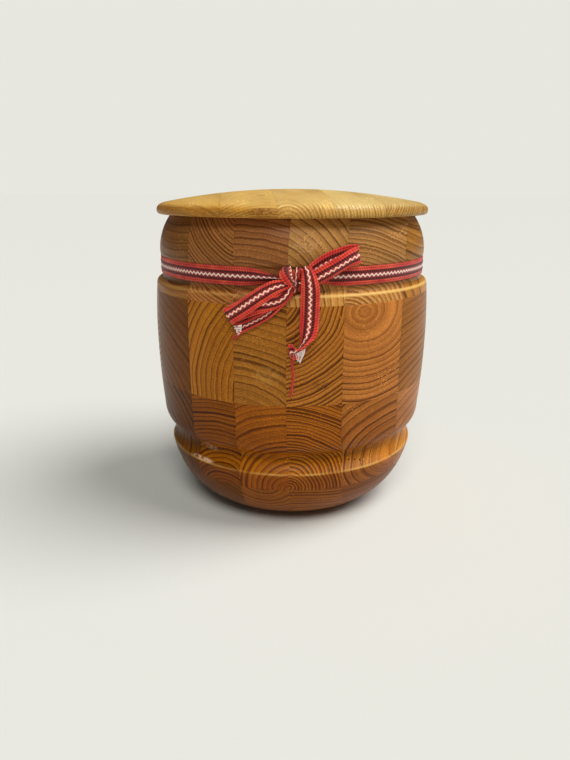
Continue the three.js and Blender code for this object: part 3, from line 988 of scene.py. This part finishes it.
def woven_cotton():
    """Red cords with dark ones inside them, a rose middle and a pale zigzag, dull with a little sheen."""
    material, yarn, shader = finish_of("ribbon_weave")
    seat = yarn.add("ShaderNodeTexCoord", output="Object")
    ribs = yarn.attribute("ribs")
    from_middle = yarn.attribute("across") * 1000
    edge = abs(from_middle)
    half, cord = ribbon_width / mm / 2, cord_width / mm
    round_cord = abs(((half - edge) / cord * math.pi).maths("SINE"))
    ripple = ribbing(ribs, edge * mm)

    # The outer cords are red and shaded between their ribs, and the yarn inside them is dark
    red, bright_red, deep_red = paint(0xc4342a), paint(0xec5c40), paint(0x6e1014)
    dark, rose, pale = paint(0x3c0e10), paint(0xa0403a), paint(0xf8d2c2)
    lustre = seat.noise(90, 2)
    colour = lustre.rise(-0.6, 1.0).mix(red, bright_red)
    shade = (1 - round_cord.rise(0.0, 0.7)) * 0.6 + ripple.rise(0.2, -1.0) * 0.4
    colour = shade.mix(colour, deep_red)
    red_from = half - cord * 2
    inner = edge.rise(red_from + 0.15, red_from - 0.15)
    colour = inner.mix(colour, dark)
    colour = (inner * ripple.rise(0.4, 1.0) * 0.35).mix(colour, red)

    # The middle is rose with a pale zigzag. The bow is painted brighter than the band, as painted light on
    # the loops and tails that stand out of the groove, and the loose threads have dyes of their own
    centre = edge.rise(1.9, 1.5)
    stroke = abs(from_middle - zigzag(ribs, 0.75)).rise(0.85, 0.4)
    colour = (centre * 0.7).mix(colour, rose)
    colour = (centre * stroke).mix(colour, pale)
    colour = yarn.attribute("bow").mix(colour, (1.32, 1.1, 1.02, 1), "MULTIPLY")
    colour = yarn.attribute("spun").mix(colour, yarn.attribute("dye", "Color"))

    twist = seat.noise(2500, 2)
    relief = ripple * 0.08 + twist * 0.04
    bump = yarn.add("ShaderNodeBump", inputs={"Strength": 0.7, "Distance": 0.001, "Height": relief})
    colour.into(shader, "Base Color")
    (0.78 + twist * 0.05).into(shader, "Roughness")
    bump.into(shader, "Normal")
    shader.inputs["Sheen Weight"].default_value = 0.25
    shader.inputs["Sheen Roughness"].default_value = 0.4
    shader.inputs["Specular IOR Level"].default_value = 0.3
    return material


ribbon_cloth = woven_cotton()
weave = {
    "Width": ribbon_width,
    "Cord Width": cord_width,
    "Half Thickness": 0.32 * mm,
    "Cord Relief": 0.3 * mm,
    "Rib Relief": 0.14 * mm,
    "Zigzag Swing": 0.55 * mm,
    "Zigzag Width": 0.9 * mm,
    "Pleat": 2.2 * mm,
    "Material": ribbon_cloth,
}
weave_inputs = {label: "Material" if label == "Material" else "Float" for label in weave}
weaving, given, woven_end = tree_with("woven_band", weave_inputs)
cloth = given["Geometry"]


def named(label, kind="FLOAT"):
    """What each point keeps under that name."""
    return cloth.add("GeometryNodeInputNamedAttribute", {"data_type": kind}, {"Name": label})


# The ribbon's section is a flat loop of points, half of them on each of its two faces
section_points = 52
half_width = given["Width"] * 0.5
turn_share = cloth.add("GeometryNodeInputIndex") / section_points
across = (abs(turn_share * 4 - 2) - 1) * half_width
half_turn = (turn_share * 2 * math.pi).maths("SINE")
side = half_turn.maths("SIGN") * (abs(half_turn) > 0.001)
section = cloth.add("GeometryNodeCurvePrimitiveCircle", {"mode": "RADIUS"}, {"Resolution": section_points})
section = stored(stored(section, "aside", across), "side", side)
offsets = {"X": named("aside"), "Y": named("side") * given["Half Thickness"]}
flat_spot = cloth.add("ShaderNodeCombineXYZ", inputs=offsets)
section = cloth.add("GeometryNodeSetPosition", inputs={"Geometry": section, "Position": flat_spot})

# It is swept along the ribbon's path, and each point is then put in its place on the crushed weave
path = stored(cloth, "centre", cloth.add("GeometryNodeInputPosition"), "FLOAT_VECTOR")
path = cloth.add("GeometryNodeMeshToCurve", inputs={"Mesh": path})
upright = {"Curve": path, "Normal": named("breadth", "FLOAT_VECTOR")}
path = cloth.add("GeometryNodeSetCurveNormal", {"mode": "FREE"}, upright)
sweep = {"Curve": path, "Profile Curve": section, "Fill Caps": True}
swept = cloth.add("GeometryNodeCurveToMesh", inputs=sweep)

from_middle, ribs, spread = named("aside"), named("ribs"), named("spread")
stripe = from_middle - (from_middle + half_width) * named("fold") * 0.5
ripple = ribbing(ribs, abs(stripe))
cord = abs(((half_width - abs(stripe)) / given["Cord Width"] * math.pi).maths("SINE"))
corded = abs(stripe) > half_width - given["Cord Width"] * 3.02
stroke = (abs(stripe - zigzag(ribs, given["Zigzag Swing"])) / given["Zigzag Width"]).rise(1, 0)
relief = corded * (cord * given["Cord Relief"] + ripple * cord * given["Rib Relief"])
relief = relief + (1 - corded) * stroke * given["Cord Relief"]
pleat = (from_middle / half_width * math.pi * 1.5).maths("COSINE") * (1 - spread) * given["Pleat"]
bend = named("curl") / half_width
tilt = from_middle * bend
sine, cosine = tilt.maths("SINE"), tilt.maths("COSINE")
thickness = named("side") * (given["Half Thickness"] + relief)
scallop = from_middle.maths("SIGN") * (abs(from_middle) > half_width * 0.9) * ripple * given["Rib Relief"]
aside = sine / bend * spread + sine * thickness + scallop
forward = (cosine - 1) / bend * spread + pleat + cosine * thickness
moved = named("breadth", "FLOAT_VECTOR").scaled(aside)
moved = moved.vector("ADD", named("facing", "FLOAT_VECTOR").scaled(forward))
moved = moved.vector("ADD", named("centre", "FLOAT_VECTOR"))
marked = stored(swept, "across", stripe)
woven = cloth.add("GeometryNodeSetPosition", inputs={"Geometry": marked, "Position": moved})
end_tree(woven_end, woven, given["Material"])

ribbon = made("woven_ribbon", ribbon_path, weaving, weave)
ribbon.data.shade_smooth()
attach(ribbon, "jar")
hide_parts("ribbon")


# The ribbon's two cut ends are frayed: tufts of loose pale and red cotton threads stand out of its
# weave, and one long red yarn of four threads hangs down from the front tail.
thread_radius = 0.26 * mm
thread_steps = 6
yarn_threads = 4
yarn_steps = 60
yarn_twist = 0.8
yarn_end_threads = 7
pale_dyes = ("pale", "pale", "pale", "pink")
red_dyes = ("red", "dark", "red", "pink")
dark_dyes = ("red", "red", "dark")
thread_dyes = {
    "pale": paint(0xfdf4ee),
    "pink": paint(0xd8867c),
    "red": paint(0xd0402c),
    "dark": paint(0x54161a),
}
# Each tuft: the two ends of the line that its threads start on and of the line that they end on, in
# arc, rise and proud, then how many threads it has and their dyes
tufts = (
    ((-34.6, -31, 2.8), (-35.4, -35.4, 2.2), (-40.6, -32.4, 2), (-38.6, -38.6, 1), 64, pale_dyes),
    ((-36.6, -35.6, 1.6), (-35, -36.8, 1), (-43.8, -41.6, 0.7), (-40.6, -43.6, 0.6), 10, dark_dyes),
    ((8.2, -46.2, 4.6), (1.6, -49.6, 4.6), (5.2, -56.2, 1.8), (2.6, -54.6, 1.4), 64, pale_dyes),
    ((2.4, -49.4, 4.6), (-2.2, -50.6, 3.6), (1.6, -54.6, 1.4), (-1.8, -53.6, 1), 26, red_dyes),
)
# The middle of the long yarn from the front tail down, in arc, rise and proud
long_yarn = (
    (1.4, -48, 2.4),
    (0.2, -53, 1.1),
    (-0.6, -60, 0.6),
    (0.7, -67, 0.5),
    (-0.3, -73, 0.5),
    (-0.9, -80, 0.6),
)
thread_points, thread_edges = [], []
thread_values = {"dye": [], "spun": []}
least_proud = 0.35


def spin(places, dye):
    """Adds one thread through these places, kept on the jar's outside."""
    first = len(thread_points)
    thread_points.extend(on_jar(arc, rise, max(proud, least_proud)) for arc, rise, proud in places)
    thread_values["dye"].extend(Vector(dye[:3]) for _ in places)
    thread_values["spun"].extend(1.0 for _ in places)
    thread_edges.extend((first + k, first + k + 1) for k in range(len(places) - 1))


chance = random.Random("frayed ends")
for start_from, start_to, end_from, end_to, threads, dyes in tufts:
    for thread in range(threads):
        share = (thread + chance.uniform(0, 1)) / threads
        start = Vector(start_from).lerp(Vector(start_to), share)
        end = Vector(end_from).lerp(Vector(end_to), min(max(share + chance.uniform(-0.25, 0.25), 0), 1))
        end = start.lerp(end, chance.uniform(0.7, 1.1))
        middle = (start + end) / 2 + Vector([chance.uniform(-1, 1) for _ in range(3)]) * 0.9
        places = [
            start * (1 - t) ** 2 + middle * 2 * t * (1 - t) + end * t * t
            for t in (step / thread_steps for step in range(thread_steps + 1))
        ]
        spin(places, thread_dyes[chance.choice(dyes)])
for thread in range(yarn_threads):
    places = []
    for step in range(yarn_steps + 1):
        t = step / yarn_steps * (len(long_yarn) - 1)
        k = min(int(t), len(long_yarn) - 2)
        middle = Vector(long_yarn[k]).lerp(Vector(long_yarn[k + 1]), t - k)
        turn = step * yarn_twist + thread * 2 * math.pi / yarn_threads
        places.append(middle + Vector((math.cos(turn) * 0.75, 0, 0.6 + math.sin(turn) * 0.4)))
    spin(places, thread_dyes["red"])
for thread in range(yarn_end_threads):
    start = Vector(long_yarn[-1])
    end = start + Vector((chance.uniform(-1.6, 1.6), chance.uniform(-3.2, -0.8), 0))
    spin([start, (start + end) / 2 + Vector((0.3, 0, 0.3)), end], thread_dyes["red"])

thread_path = bpy.data.meshes.new("thread_path")
thread_path.from_pydata(thread_points, thread_edges, [])
with_values(thread_path, thread_values)
thread_sizes = {"Thread Radius": thread_radius, "Material": ribbon_cloth}
spinning, given, spun_end = tree_with("spun_threads", {"Thread Radius": "Float", "Material": "Material"})
line = given["Geometry"].add("GeometryNodeMeshToCurve", inputs={"Mesh": given["Geometry"]})
circle = {"Resolution": 6, "Radius": given["Thread Radius"]}
thread_section = line.add("GeometryNodeCurvePrimitiveCircle", {"mode": "RADIUS"}, circle)
sweep = {"Curve": line, "Profile Curve": thread_section, "Fill Caps": True}
end_tree(spun_end, line.add("GeometryNodeCurveToMesh", inputs=sweep), given["Material"])
threads = made("frayed_threads", thread_path, spinning, thread_sizes)
threads.data.shade_smooth()
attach(threads, "jar")
